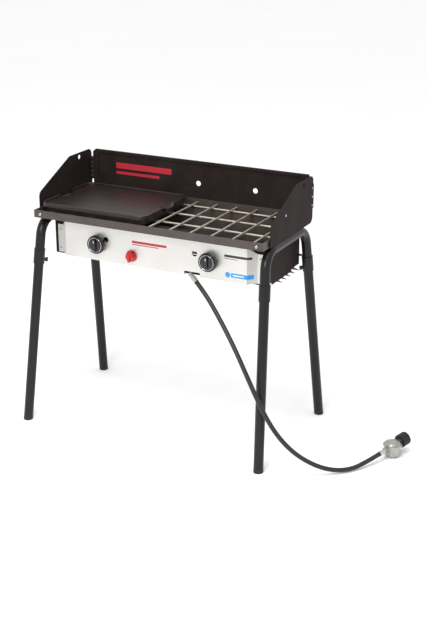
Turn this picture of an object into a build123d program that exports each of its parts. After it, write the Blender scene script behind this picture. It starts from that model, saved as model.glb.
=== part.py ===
"""Two-burner camp stove on four legs, with griddle, windscreen, gas hose and regulator.

Units are millimetres. +Z is up, +X is to the right as seen from the knobs, +Y is towards the windscreen.
The origin is on the floor under the middle of the stove. Each sub-part is written to parts/NAME.step.
"""
from build123d import *
import math
import os

# Top frame of angle iron
FRAME_WIDTH = 826.0
FRAME_DEPTH = 366.0
RAIL_TOP = 730.0
RAIL_LEG = 25.0
RAIL_WALL = 3.0

# Cooking grate of round rod, welded into the frame
ROD_DIAMETER = 6.4
LONG_ROD_PITCH = 105.0
SHORT_ROD_PITCH = 73.3
SHORT_ROD_COUNT = 11

# Griddle, standing on the left half of the grate
GRIDDLE_WIDTH = 396.0
GRIDDLE_LENGTH = 302.0
GRIDDLE_OFF_CENTRE = 11.0
GRIDDLE_HEIGHT = 30.0
GRIDDLE_RIM = 15.0
GRIDDLE_WALL = 8.0
SKIRT_INSET = 7.0
GRIDDLE_WELL = 9.0
GRIDDLE_PLATE = 7.0
REST_GAP = 0.2

# Leg bows and legs
TUBE_RADIUS = 16.0
TUBE_BORE = 14.0
BOW_HALF_SPAN = 150.0
BOW_X = 407.0
BOW_BEND = 60.0
SPLAY_X = 0.0418
SPLAY_Y = 0.14
SOCKET_RADIUS = 18.5
SOCKET_TOP = 98.0
SOCKET_END = 148.0
LEG_START = 116.0
LEG_FIT = 0.1
SCREW_AT = 134.0

# Burner box and control panel
BOX_HALF_WIDTH = 388.0
BOX_FRONT = -100.0
BOX_BACK = 152.0
BOX_BOTTOM = 566.0
BOX_SHEET = 1.5
PANEL_FACE = -126.0
PANEL_SHEET = 1.0
PANEL_HALF_WIDTH = 332.0
PANEL_BOTTOM = 570.0
PANEL_TOP = 690.0
FLANGE_TOP = 666.0
FLANGE_END = 377.0

# Windscreen
SCREEN_TOP = 857.0
SCREEN_BOTTOM = 703.0
SCREEN_SHEET = 1.5
SIDE_SCREEN_X = 416.5
HINGE_X = 416.0
HINGE_Y = 186.3
KNUCKLE_RADIUS = 2.6
HINGE_LOW = 750.0
HINGE_HIGH = 830.0

# Gas train
KNOB_X = 204.0
KNOB_Z = 629.0
KNOB_RADIUS = 31.0
KNOB_STAND_OFF = 10.0
KNOB_DEPTH = 16.0
MANIFOLD_Y = -106.0
MANIFOLD_Z = 580.0
IGNITER = (-80.0, 604.0)
MATCH_HOLES = ((-176.0, 644.5), (149.5, 645.0))
MATCH_RADIUS = 9.5
HOSE_RADIUS = 7.4

HALF_WIDTH = FRAME_WIDTH / 2
HALF_DEPTH = FRAME_DEPTH / 2
RAIL_BOTTOM = RAIL_TOP - RAIL_LEG
LEDGE = RAIL_BOTTOM + RAIL_WALL
BOW_Z = RAIL_BOTTOM - TUBE_RADIUS
SIDES = {"left": -1, "right": 1}
CORNERS = {"front_left": (-1, -1), "front_right": (1, -1), "rear_left": (-1, 1), "rear_right": (1, 1)}
nodes = {}


def block(x0, x1, y0, y1, z0, z1):
    """A box between two corners."""
    size = (x1 - x0, y1 - y0, z1 - z0)
    return Pos((x0 + x1) / 2, (y0 + y1) / 2, (z0 + z1) / 2) * Box(*size)


def side_block(side, x0, x1, y0, y1, z0, z1):
    """A box given at positive X, put on the left or on the right."""
    low, high = sorted((side * x0, side * x1))
    return block(low, high, y0, y1, z0, z1)


def rod(start, end, radius):
    """A cylinder from one point to another."""
    start, end = Vector(*start), Vector(*end)
    along = end - start
    centred = (Align.CENTER, Align.CENTER, Align.MIN)
    return Plane(origin=start, z_dir=along.normalized()) * Cylinder(radius, along.length, align=centred)


def pipe(start, end, radius, bore):
    """A hollow cylinder from one point to another."""
    return rod(start, end, radius) - rod(start, end, bore)


def prism(points, low, high, plane):
    """A polygon on a plane, extruded from one offset to another along its normal."""
    face = make_face(Polyline(*points, close=True))
    return extrude(plane.offset(low) * face, high - low)


def row(start, pitch, count):
    """Evenly spaced positions."""
    return [start + pitch * index for index in range(count)]


# --- top frame -------------------------------------------------------------------------------------

def long_rail(side):
    """Front (side -1) or rear (side 1) angle rail, full width, upright leg outside, ledge inside."""
    outer, inner = side * HALF_DEPTH, side * (HALF_DEPTH - RAIL_WALL)
    ledge = side * (HALF_DEPTH - RAIL_LEG)
    reach = HALF_WIDTH - RAIL_WALL
    rail = block(-HALF_WIDTH, HALF_WIDTH, min(outer, inner), max(outer, inner), RAIL_BOTTOM, RAIL_TOP)
    rail += block(-reach, reach, min(inner, ledge), max(inner, ledge), RAIL_BOTTOM, LEDGE)
    for x in END_SCREWS if side < 0 else SCREEN_SCREWS:
        rail -= rod((x, outer + side, SCREW_Z), (x, inner - side, SCREW_Z), 2.6)
    return rail


def side_rail(side):
    """Angle rail between the long rails, with two holes in its ledge for the bow's bolts."""
    inside = HALF_DEPTH - RAIL_WALL
    rail = side_block(side, HALF_WIDTH - RAIL_WALL, HALF_WIDTH, -inside, inside, RAIL_BOTTOM, RAIL_TOP)
    rail += side_block(side, HALF_WIDTH - RAIL_LEG, HALF_WIDTH - RAIL_WALL,
                       -(HALF_DEPTH - RAIL_LEG), HALF_DEPTH - RAIL_LEG, RAIL_BOTTOM, LEDGE)
    for y in BOW_BOLTS:
        rail -= rod((side * BOLT_X, y, RAIL_BOTTOM - 1), (side * BOLT_X, y, LEDGE + 1), 3.2)
    return rail


END_SCREWS = (-390.0, 390.0)
SCREEN_SCREWS = (-330.0, -110.0, 110.0, 330.0)
SCREW_Z = RAIL_BOTTOM + 12.0
BOW_BOLTS = (-80.0, 80.0)
BOLT_X = 400.0

nodes["rail_front"] = long_rail(-1)
nodes["rail_rear"] = long_rail(1)
for name, side in SIDES.items():
    nodes["rail_" + name] = side_rail(side)

rod_radius = ROD_DIAMETER / 2
long_rod_z = LEDGE + rod_radius
short_rod_z = long_rod_z + ROD_DIAMETER
grate_top = short_rod_z + rod_radius
inside_x = HALF_WIDTH - RAIL_WALL
inside_y = HALF_DEPTH - RAIL_WALL
long_rods = [rod((-inside_x, y, long_rod_z), (inside_x, y, long_rod_z), rod_radius)
             for y in row(-163.0, LONG_ROD_PITCH, 4)]
short_rods = [rod((x, -inside_y, short_rod_z), (x, inside_y, short_rod_z), rod_radius)
              for x in row(-SHORT_ROD_PITCH * (SHORT_ROD_COUNT // 2), SHORT_ROD_PITCH, SHORT_ROD_COUNT)]
nodes["grate_long_rods"] = Compound(children=long_rods)
nodes["grate_short_rods"] = Compound(children=short_rods)

nodes["rail_screws"] = Compound(children=[
    rod((x, -HALF_DEPTH - 2.4, SCREW_Z), (x, -HALF_DEPTH, SCREW_Z), 4.8)
    + rod((x, -HALF_DEPTH - 1, SCREW_Z), (x, -HALF_DEPTH + 8, SCREW_Z), 2.5)
    for x in END_SCREWS])


# --- griddle ---------------------------------------------------------------------------------------

def griddle():
    """Cast plate with a raised rim over a set-in skirt, ribs underneath and a finger recess at each end."""
    middle = Pos(-GRIDDLE_WIDTH / 2 - GRIDDLE_OFF_CENTRE, -8.0, 0)
    low, high = grate_top + REST_GAP, grate_top + GRIDDLE_HEIGHT
    rim_low, plate_top = high - GRIDDLE_RIM, high - GRIDDLE_WELL

    def outline(inset, radius):
        return RectangleRounded(GRIDDLE_WIDTH - 2 * inset, GRIDDLE_LENGTH - 2 * inset, radius)

    body = extrude(middle * Pos(0, 0, rim_low) * outline(0, 32), GRIDDLE_RIM)
    body += extrude(middle * Pos(0, 0, low) * outline(SKIRT_INSET, 26), rim_low - low + 1)
    body -= extrude(middle * Pos(0, 0, plate_top) * outline(GRIDDLE_WALL, 25), GRIDDLE_WELL + 1)
    body = fillet(body.edges().filter_by_position(Axis.Z, high - 0.1, high + 0.1), 2.0)
    body = fillet(body.edges().filter_by_position(Axis.Z, rim_low - 0.1, rim_low + 0.1), 1.0)
    under = outline(SKIRT_INSET + GRIDDLE_WALL, 19)
    body -= extrude(middle * Pos(0, 0, low - 1) * under, plate_top - GRIDDLE_PLATE - low + 1)
    reach = GRIDDLE_LENGTH / 2 - SKIRT_INSET - 3
    for x in row(-150.0, 100.0, 4):
        body += middle * block(x - 2.5, x + 2.5, -reach, reach, low + 3, plate_top - GRIDDLE_PLATE + 1)
    for side in (-1, 1):
        scoop = Pos(side * (GRIDDLE_WIDTH / 2 + 12), 0, high + 14) * Rot(0, side * -30, 0) * Cylinder(44, 34)
        body -= middle * scoop
    return body


nodes["griddle"] = griddle()


# --- leg bows and legs -----------------------------------------------------------------------------

def leg_axis(corner):
    """Start (the bow's bend corner) and unit direction down the leg."""
    x_side, y_side = corner
    start = Vector(x_side * BOW_X, y_side * BOW_HALF_SPAN, BOW_Z)
    return start, Vector(x_side * SPLAY_X, y_side * SPLAY_Y, -1).normalized()


def on_leg(corner, distance):
    """Point on a leg's centre line, measured down from the bend corner."""
    start, down = leg_axis(corner)
    return start + down * distance


def screw_direction(corner):
    """Thumbscrews point diagonally inwards, square to the leg."""
    down = leg_axis(corner)[1]
    inward = Vector(-corner[0], -corner[1], 0).normalized()
    return (inward - down * inward.dot(down)).normalized()


def leg_bow(side):
    """Tube bent into an upside-down U under a side rail, its ends swaged into sockets for the legs."""
    front, rear = (side, -1), (side, 1)
    path = FilletPolyline(on_leg(front, SOCKET_TOP), on_leg(front, 0), on_leg(rear, 0),
                          on_leg(rear, SOCKET_TOP), radius=BOW_BEND)
    start_plane = Plane(origin=path @ 0, z_dir=path % 0)
    bow = sweep(start_plane * Circle(TUBE_RADIUS), path=path)
    core = sweep(start_plane * Circle(TUBE_BORE), path=path)
    for corner in (front, rear):
        bow += rod(on_leg(corner, SOCKET_TOP - 1), on_leg(corner, SOCKET_END), SOCKET_RADIUS)
    bow -= core
    for corner in (front, rear):
        bow -= rod(on_leg(corner, SOCKET_TOP - 2), on_leg(corner, LEG_START + 1), TUBE_BORE)
        bow -= rod(on_leg(corner, LEG_START), on_leg(corner, SOCKET_END + 1), TUBE_RADIUS + LEG_FIT)
        at = on_leg(corner, SCREW_AT)
        bow -= rod(at + screw_direction(corner) * 10, at + screw_direction(corner) * 24, 3.1)
    for y in BOW_BOLTS:
        bow -= rod((side * BOLT_X, y, BOW_Z), (side * BOLT_X, y, RAIL_BOTTOM + 1), 3.2)
    return bow


def leg_tube(corner):
    """Straight lower leg, open at both ends."""
    return pipe(on_leg(corner, LEG_START), on_leg(corner, floor_distance - FOOT_LENGTH), TUBE_RADIUS, TUBE_BORE)


def foot_plug(corner):
    """Moulded plug in the leg's end, cut level with the floor."""
    top = floor_distance - FOOT_LENGTH
    plug = rod(on_leg(corner, top), on_leg(corner, floor_distance + 12), TUBE_RADIUS)
    plug += rod(on_leg(corner, top - 18), on_leg(corner, top + 1), TUBE_BORE)
    plug -= block(-600, 600, -400, 400, -60, 0)
    return chamfer(plug.edges().filter_by_position(Axis.Z, -0.01, 0.01), 1.5)


def thumbscrew(corner):
    """Screw with a flat thumb wing, its tip just clear of the leg."""
    at, out = on_leg(corner, SCREW_AT), screw_direction(corner)
    tip, collar, end = TUBE_RADIUS + 0.3, SOCKET_RADIUS + 0.4, SOCKET_RADIUS + 11
    screw = rod(at + out * tip, at + out * (collar + 3), 3.0)
    screw += rod(at + out * collar, at + out * (collar + 3), 5.0)
    wing = Plane(origin=at + out * (collar + 2), x_dir=leg_axis(corner)[1], z_dir=out)
    height = end - collar - 2
    wing_body = extrude(wing * RectangleRounded(15, 3.2, 1.5), height)
    return screw + wing_body


FOOT_LENGTH = 12.0
floor_distance = BOW_Z * math.sqrt(1 + SPLAY_X ** 2 + SPLAY_Y ** 2)
for name, side in SIDES.items():
    nodes["leg_bow_" + name] = leg_bow(side)
for name, corner in CORNERS.items():
    nodes["leg_" + name] = leg_tube(corner)
    nodes["foot_plug_" + name] = foot_plug(corner)
    nodes["thumbscrew_" + name] = thumbscrew(corner)
nodes["bow_bolts"] = Compound(children=[
    rod((side * BOLT_X, y, BOW_Z + 6), (side * BOLT_X, y, LEDGE + 0.5), 2.9)
    + rod((side * BOLT_X, y, LEDGE), (side * BOLT_X, y, LEDGE + 4), 5.5)
    for side in (-1, 1) for y in BOW_BOLTS])


# --- burner box ------------------------------------------------------------------------------------

def box_side(side):
    """Side wall with a front flange behind the control panel's ends and a rear flange for the back."""
    outer, inner = BOX_HALF_WIDTH, BOX_HALF_WIDTH - BOX_SHEET
    wall = side_block(side, inner, outer, BOX_FRONT, BOX_BACK, BOX_BOTTOM, RAIL_BOTTOM)
    wall += side_block(side, 342, inner, BOX_FRONT, BOX_FRONT + BOX_SHEET, BOX_BOTTOM, SHELF_Z)
    wall += side_block(side, inner - 14, inner, BOX_BACK - BOX_SHEET, BOX_BACK, BOX_BOTTOM, RAIL_BOTTOM)
    wall -= side_block(side, 380, 390, -176, BOX_FRONT + 20, SHELF_Z, RAIL_BOTTOM + 1)
    for z in PANEL_SCREW_Z:
        wall -= rod((side * PANEL_SCREW_X, BOX_FRONT - 1, z), (side * PANEL_SCREW_X, BOX_FRONT + 3, z), 1.9)
    return wall


def control_panel():
    """Brushed front: flat face, ends sloped back at 45 degrees, outward flanges, lip along the bottom."""
    set_back = BOX_FRONT - PANEL_SHEET - PANEL_FACE
    slope_end = PANEL_HALF_WIDTH + set_back
    right = [(0, PANEL_FACE), (PANEL_HALF_WIDTH, PANEL_FACE), (slope_end, PANEL_FACE + set_back),
             (FLANGE_END, PANEL_FACE + set_back)]
    outline = [(-x, y) for x, y in reversed(right[1:])] + right[1:]
    back = [(x - math.copysign(0.41 * PANEL_SHEET, x), y + PANEL_SHEET) if abs(x) < FLANGE_END
            else (x, y + PANEL_SHEET) for x, y in reversed(outline)]
    panel = prism(outline + back, PANEL_BOTTOM, PANEL_TOP, Plane.XY)
    for side in (-1, 1):
        cut = [(side * PANEL_HALF_WIDTH, PANEL_TOP + 1), (side * PANEL_HALF_WIDTH, PANEL_TOP),
               (side * slope_end, FLANGE_TOP), (side * 400, FLANGE_TOP), (side * 400, PANEL_TOP + 1)]
        panel -= prism(cut, 90, 140, Plane.XZ)
    lip = block(-PANEL_HALF_WIDTH + 2, PANEL_HALF_WIDTH - 2, PANEL_FACE + 0.5, PANEL_FACE + 9,
                PANEL_BOTTOM, PANEL_BOTTOM + PANEL_SHEET)
    panel += lip
    panel -= block(112, 168, PANEL_FACE - 5, PANEL_FACE + 12, PANEL_BOTTOM - 1, 583)
    for x in (-KNOB_X, KNOB_X):
        panel -= rod((x, PANEL_FACE - 2, KNOB_Z), (x, PANEL_FACE + 3, KNOB_Z), 6.5)
    for x, z in MATCH_HOLES:
        panel -= rod((x, PANEL_FACE - 2, z), (x, PANEL_FACE + 3, z), MATCH_RADIUS)
    panel -= rod((IGNITER[0], PANEL_FACE - 2, IGNITER[1]), (IGNITER[0], PANEL_FACE + 3, IGNITER[1]), 9.0)
    for side in (-1, 1):
        for z in PANEL_SCREW_Z:
            x = side * PANEL_SCREW_X
            panel -= rod((x, BOX_FRONT - 4, z), (x, BOX_FRONT + 1, z), 1.9)
    return panel


def panel_screws():
    """Four pan-head screws through the panel's flanges."""
    screws = []
    for side in (-1, 1):
        for z in PANEL_SCREW_Z:
            x, face = side * PANEL_SCREW_X, BOX_FRONT - PANEL_SHEET
            screws.append(rod((x, face - 2, z), (x, face, z), 3.6) + rod((x, face - 1, z), (x, face + 9, z), 1.8))
    return Compound(children=screws)


def louvre_shield():
    """Heat shield under the box: a flat sheet in front, then five sloping slats spot-welded to two runners."""
    reach = BOX_HALF_WIDTH - 4
    under = BOX_BOTTOM - BOX_SHEET
    pieces = [block(-reach, reach, BOX_FRONT + 3, SHIELD_SPLIT, under, BOX_BOTTOM)]
    for side in (-1, 1):
        pieces.append(side_block(side, reach - 12, reach, SHIELD_SPLIT, RUNNER_END, under, BOX_BOTTOM))
        pieces.append(side_block(side, reach - RUNNER_SHEET, reach, RUNNER_START, RUNNER_END, under - 10, under))
    pieces += [Pos(0, y, SLAT_Z) * Rot(-SLAT_TILT, 0, 0) * Box(2 * (reach - RUNNER_SHEET), SLAT_WIDTH, BOX_SHEET)
               for y in row(7.0, SLAT_PITCH, 5)]
    return Compound(children=pieces)


SHELF_Z = RAIL_BOTTOM - 1.2
PANEL_SCREW_X = 367.0
PANEL_SCREW_Z = (586.0, 650.0)
SHIELD_SPLIT = -20.0
RUNNER_START, RUNNER_END = -52.0, 100.0
RUNNER_SHEET = 1.5
SLAT_Z = BOX_BOTTOM - 15.6
SLAT_PITCH = 34.0
SLAT_WIDTH = 56.0
SLAT_TILT = 28.0
for name, side in SIDES.items():
    nodes["box_side_" + name] = box_side(side)
back_reach = BOX_HALF_WIDTH - BOX_SHEET
nodes["box_back"] = (block(-back_reach, back_reach, BOX_BACK - 2 * BOX_SHEET, BOX_BACK - BOX_SHEET,
                           BOX_BOTTOM, RAIL_BOTTOM)
                     + block(-back_reach + 14, back_reach - 14, BOX_BACK - 2 * BOX_SHEET, BOX_BACK + 24,
                             RAIL_BOTTOM - BOX_SHEET, RAIL_BOTTOM))
nodes["front_shelf"] = (block(-386, 386, -175, PANEL_FACE + 2.4, SHELF_Z, RAIL_BOTTOM)
                        + block(-330, 330, PANEL_FACE + 1.2, PANEL_FACE + 2.4, PANEL_TOP - 12, SHELF_Z + 0.5)
                        + block(-386, 386, PANEL_FACE + 2, BOX_FRONT + 18, SHELF_Z, RAIL_BOTTOM))
nodes["control_panel"] = control_panel()
nodes["panel_screws"] = panel_screws()
nodes["louvre_shield"] = louvre_shield()
nodes["brace_straps"] = Compound(children=[
    side_block(side, 376, 397, BOX_BACK, BOX_BACK + 1.5, 593, 600) for side in (-1, 1)])


# --- windscreen ------------------------------------------------------------------------------------

def screen_back():
    """Pressed panel behind the rear rail: recessed middle, hemmed top, two round holes, cut top corners."""
    face, half = HALF_DEPTH, 411.0
    corner = 10.0
    outline = [(-half, SCREEN_BOTTOM), (half, SCREEN_BOTTOM), (half, SCREEN_TOP - corner),
               (half - corner, SCREEN_TOP), (-half + corner, SCREEN_TOP), (-half, SCREEN_TOP - corner)]
    panel = prism([(x, z) for x, z in outline], -face - SCREEN_SHEET, -face, Plane.XZ)
    recess_low, recess_high, recess_half, depth = 745.0, SCREEN_TOP - 9, 390.0, 4.0
    centre_z = (recess_low + recess_high) / 2

    def pan(grow, y0, y1):
        sketch = RectangleRounded(2 * (recess_half + grow), recess_high - recess_low + 2 * grow, 14 + grow)
        return extrude(Plane(origin=(0, y0, centre_z), x_dir=(1, 0, 0), z_dir=(0, 1, 0)) * sketch, y1 - y0)

    panel += pan(SCREEN_SHEET, face, face + depth + SCREEN_SHEET)
    panel -= pan(0, face - 1, face + depth)
    panel += block(-half + corner, half - corner, face, face + 9, SCREEN_TOP - SCREEN_SHEET, SCREEN_TOP)
    for x in (0.0, 211.0):
        panel -= rod((x, face - 2, 780.5), (x, face + 12, 780.5), 9.0)
    for x in SCREEN_SCREWS:
        panel -= rod((x, face - 2, SCREW_Z), (x, face + 4, SCREW_Z), 2.6)
    return panel


def screen_side(side):
    """Side screen outside the side rail: flat top, long sloping edge, short upright front edge."""
    outline = [(182.5, SCREEN_BOTTOM), (182.5, 859), (44, 859), (-143, 776), (-143, SCREEN_BOTTOM)]
    inner, outer = SIDE_SCREEN_X, SIDE_SCREEN_X + SCREEN_SHEET
    low, high = sorted((side * inner, side * outer))
    sheet = prism(outline, low, high, Plane.YZ)
    upright = sheet.edges().filter_by(Axis.X)
    sheet = fillet(upright.filter_by_position(Axis.Y, 182, 183), 20)
    slope = sheet.edges().filter_by(Axis.X).filter_by_position(Axis.Z, 775, 859)
    sheet = fillet(slope.filter_by_position(Axis.Y, -144, 45), 22)
    low_front = sheet.edges().filter_by(Axis.X).filter_by_position(Axis.Y, -144, -142)
    sheet = fillet(low_front.filter_by_position(Axis.Z, SCREEN_BOTTOM - 1, SCREEN_BOTTOM + 1), 5)
    sheet -= rod((side * (inner - 2), 104, 844), (side * (outer + 2), 104, 844), 7.5)
    sheet -= rod((side * (inner - 2), -33, 780), (side * (outer + 2), -33, 780), 2.1)
    for z in LEAF_RIVETS:
        sheet -= rod((side * (inner - 2), 174, z), (side * (outer + 2), 174, z), 1.6)
    return sheet


def knuckles(side, first):
    """Every second knuckle of a hinge, starting at the first or the second one."""
    count = 10
    pitch = (HINGE_HIGH - HINGE_LOW) / count
    rings = []
    for index in range(first, count, 2):
        z = HINGE_LOW + index * pitch
        rings.append(pipe((side * HINGE_X, HINGE_Y, z + 0.2), (side * HINGE_X, HINGE_Y, z + pitch - 0.2),
                          KNUCKLE_RADIUS, 1.25))
    return rings


def back_leaf(side):
    """Leaf on the back panel's rear face, with its knuckles."""
    face = HALF_DEPTH + SCREEN_SHEET
    leaf = side_block(side, 396.0, 409.5, face, face + 1, HINGE_LOW, HINGE_HIGH)
    for ring in knuckles(side, 0):
        box = ring.bounding_box()
        leaf += side_block(side, 409, HINGE_X - 1.9, face, face + 1, box.min.Z, box.max.Z)
        leaf += ring
    return leaf


def side_leaf(side):
    """Leaf on the side screen's inner face, with its knuckles."""
    inner = SIDE_SCREEN_X
    leaf = side_block(side, inner - 1, inner, 165, 181.5, HINGE_LOW, HINGE_HIGH)
    for ring in knuckles(side, 1):
        box = ring.bounding_box()
        leaf += side_block(side, inner - 1, inner, 181, HINGE_Y - 1.9, box.min.Z, box.max.Z)
        leaf += ring
    for z in LEAF_RIVETS:
        leaf -= rod((side * (inner - 2), 174, z), (side * (inner + 1), 174, z), 1.6)
    return leaf


def button_rivet(side, y, z, radius):
    """Rivet through a side screen with a low head outside."""
    outer = SIDE_SCREEN_X + SCREEN_SHEET
    inner = SIDE_SCREEN_X - 1
    head = rod((side * outer, y, z), (side * (outer + 1.6), y, z), radius * 2)
    tail = rod((side * (inner - 1), y, z), (side * inner, y, z), radius * 1.5)
    return head + rod((side * (inner - 0.5), y, z), (side * (outer + 0.5), y, z), radius) + tail


LEAF_RIVETS = (762.0, 790.0, 818.0)
nodes["windscreen_back"] = screen_back()
nodes["hinge_back_leaves"] = Compound(children=[back_leaf(side) for side in (-1, 1)])
for name, side in SIDES.items():
    nodes["windscreen_" + name] = screen_side(side)
    rivets = [button_rivet(side, 174, z, 1.5) for z in LEAF_RIVETS] + [button_rivet(side, -33, 780, 2.0)]
    nodes["hinge_side_leaf_" + name] = Compound(children=[side_leaf(side)] + rivets)
nodes["hinge_pins"] = Compound(children=[
    rod((side * HINGE_X, HINGE_Y, HINGE_LOW - 1), (side * HINGE_X, HINGE_Y, HINGE_HIGH + 1), 1.2)
    for side in (-1, 1)])
nodes["windscreen_screws"] = Compound(children=[
    rod((x, HALF_DEPTH - 6, SCREW_Z), (x, HALF_DEPTH + 2, SCREW_Z), 2.5)
    + rod((x, HALF_DEPTH + SCREEN_SHEET, SCREW_Z), (x, HALF_DEPTH + 4, SCREW_Z), 4.8)
    for x in SCREEN_SCREWS])


# --- burners and gas train -------------------------------------------------------------------------

def burner(x):
    """Cast burner: bowl, ported ring and cap on a straight mixing tube that opens towards the valve."""
    profile = [(0, 612), (20, 612), (46, 638), (46, 652), (41, 656), (0, 659)]
    head = revolve(Pos(x, 0, 0) * Plane.XZ * make_face(Polyline(*profile, close=True)),
                   Axis((x, 0, 0), (0, 0, 1)))
    slots = [Pos(x, 0, 651) * Rot(0, 0, angle) * Pos(43, 0, 0) * Box(14, 2.4, 12)
             for angle in row(7.5, 15.0, 24)]
    head -= Compound(children=slots)
    head += rod((x, TUBE_MOUTH, KNOB_Z), (x, -20, KNOB_Z), 14)
    head += rod((x, 0, BAR_TOP), (x, 0, 614), 9)
    return head - rod((x, TUBE_MOUTH - 1, KNOB_Z), (x, -16, KNOB_Z), 11)


def air_shutter(x):
    """Sleeve on the mixing tube with a front disc and two windows, turned to set the flame."""
    shutter = pipe((x, TUBE_MOUTH - 1.6, KNOB_Z), (x, TUBE_MOUTH + 15, KNOB_Z), 15.4, 14.08)
    shutter += pipe((x, TUBE_MOUTH - 1.6, KNOB_Z), (x, TUBE_MOUTH - 0.4, KNOB_Z), 15.0, 6.2)
    for side in (-1, 1):
        shutter -= block(x + side * 10.5 - 2.5, x + side * 10.5 + 2.5, TUBE_MOUTH - 3, TUBE_MOUTH + 6,
                         KNOB_Z - 5, KNOB_Z + 5)
    return shutter


def valve(x):
    """Brass tap on the manifold: body along Y, upright inlet leg."""
    body = rod((x, -123.5, KNOB_Z), (x, -98, KNOB_Z), 10)
    body += rod((x, MANIFOLD_Y, MANIFOLD_Z + 7), (x, MANIFOLD_Y, KNOB_Z - 4), 5.5)
    return body - rod((x, -126, KNOB_Z), (x, -112, KNOB_Z), 3.08)


STEM_TIP = PANEL_FACE - 14.0


def knob(x):
    """Hub against the panel, a deep skirt with a dished face, and a grip bar across it."""
    hub, back = PANEL_FACE - 2.0, PANEL_FACE - KNOB_STAND_OFF
    face = back - KNOB_DEPTH
    profile = [(0, hub), (13, hub), (13, back), (KNOB_RADIUS, back), (KNOB_RADIUS - 0.5, face + 3),
               (KNOB_RADIUS - 2.5, face + 0.5), (KNOB_RADIUS - 6, face), (KNOB_RADIUS - 8, face + 1.5),
               (18, face + 1), (0, face)]
    body = revolve(Pos(x, 0, KNOB_Z) * make_face(Polyline(*profile, close=True)), Axis((x, 0, KNOB_Z), (0, 1, 0)))
    bar = Plane(origin=(x, face + 10, KNOB_Z), x_dir=(0, 0, 1), z_dir=(0, -1, 0))
    grip = extrude(bar * SlotOverall(42, 13), 17)
    return body + grip - rod((x, STEM_TIP, KNOB_Z), (x, hub + 1, KNOB_Z), 3.0)


TUBE_MOUTH = -82.0
BAR_TOP = 591.0
for name, side in SIDES.items():
    x = side * KNOB_X
    nodes["burner_" + name] = burner(x)
    nodes["air_shutter_" + name] = air_shutter(x)
    nodes["valve_stem_" + name] = rod((x, STEM_TIP, KNOB_Z), (x, -112.5, KNOB_Z), 3.0)
    nodes["knob_" + name] = knob(x)
nodes["valves"] = Compound(children=[valve(side * KNOB_X) for side in (-1, 1)])
nodes["orifices"] = Compound(children=[
    rod((side * KNOB_X, -98, KNOB_Z), (side * KNOB_X, -88, KNOB_Z), 5.0)
    + rod((side * KNOB_X, -89, KNOB_Z), (side * KNOB_X, -82.5, KNOB_Z), 3.0)
    - rod((side * KNOB_X, -99, KNOB_Z), (side * KNOB_X, -82, KNOB_Z), 0.8) for side in (-1, 1)])
bar_reach = BOX_HALF_WIDTH - BOX_SHEET
nodes["burner_bar"] = (block(-bar_reach, bar_reach, -13, 13, BAR_TOP - 2.5, BAR_TOP)
                       + side_block(1, bar_reach - 2.5, bar_reach, -13, 13, BAR_TOP - 1, BAR_TOP + 18)
                       + side_block(-1, bar_reach - 2.5, bar_reach, -13, 13, BAR_TOP - 1, BAR_TOP + 18))

hose_line = Vector(0.78, -0.42, -0.47).normalized()
elbow = Vector(124, -117, 579)


def on_inlet(distance):
    """Point on the inlet's slanting centre line."""
    return elbow + hose_line * distance


inlet_root = Vector(elbow.X, MANIFOLD_Y, MANIFOLD_Z)
manifold = rod((-KNOB_X - 14, MANIFOLD_Y, MANIFOLD_Z), (KNOB_X + 14, MANIFOLD_Y, MANIFOLD_Z), 7)
manifold += rod(inlet_root, elbow, 6) + Pos(*elbow) * Sphere(6.5) + rod(elbow, on_inlet(16), 5)
nodes["gas_manifold"] = manifold
nodes["hose_nut"] = (extrude(Plane(origin=on_inlet(10), z_dir=hose_line) * RegularPolygon(8.4, 6), 18)
                     - rod(on_inlet(9), on_inlet(16), 5.0))


def igniter_body():
    """Piezo igniter behind the panel, with its fixing nut."""
    x, z = IGNITER
    body = rod((x, PANEL_FACE + 1, z), (x, PANEL_FACE + 48, z), 10.5)
    body += rod((x, PANEL_FACE + 1, z), (x, PANEL_FACE + 5, z), 13.5)
    return body - rod((x, PANEL_FACE, z), (x, PANEL_FACE + 12, z), 3.08)


def igniter_knob():
    """Red rotary knob: flared skirt, tall ridge and a shaft into the igniter."""
    x, z = IGNITER
    back = PANEL_FACE - 1.5
    profile = [(0, back), (19.5, back), (19.5, back - 3), (15, back - 9), (14, back - 16), (0, back - 17)]
    body = revolve(Pos(x, 0, z) * make_face(Polyline(*profile, close=True)), Axis((x, 0, z), (0, 1, 0)))
    bar = Plane(origin=(x, back - 1, z), x_dir=(0, 0, 1), z_dir=(0, -1, 0))
    ridge = extrude(bar * SlotOverall(37, 10), 24)
    return body + ridge + rod((x, back - 1, z), (x, PANEL_FACE + 11, z), 3.0)


def electrode(side):
    """Ceramic rod beside a burner with a wire tip and a foot on the burner bar."""
    x = side * (KNOB_X - 54)
    foot = block(x - 5, x + 5, -10, 10, BAR_TOP, BAR_TOP + 1.5)
    return foot + rod((x, 0, BAR_TOP + 1), (x, 0, BAR_TOP + 52), 3.2) + rod((x, 0, BAR_TOP + 50), (x, 0, BAR_TOP + 60), 1.0)


def ignition_wire(side):
    """Insulated wire from the igniter's end to an electrode's foot."""
    x, z = IGNITER
    start = Vector(x + side * 4, PANEL_FACE + 48, z)
    end_x = side * (KNOB_X - 54)
    points = [start, start + Vector(0, 22, 0), Vector(end_x - side * 18, -40, BAR_TOP + 12),
              Vector(end_x, -10 - 14, BAR_TOP + 8), Vector(end_x, -3.2, BAR_TOP + 8)]
    path = FilletPolyline(*points, radius=6)
    return sweep(Plane(origin=path @ 0, z_dir=path % 0) * Circle(1.4), path=path)


nodes["igniter_body"] = igniter_body()
nodes["igniter_knob"] = igniter_knob()
nodes["electrodes"] = Compound(children=[electrode(side) for side in (-1, 1)])
nodes["ignition_wires"] = Compound(children=[ignition_wire(side) for side in (-1, 1)])


# --- hose and regulator ----------------------------------------------------------------------------

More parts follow.
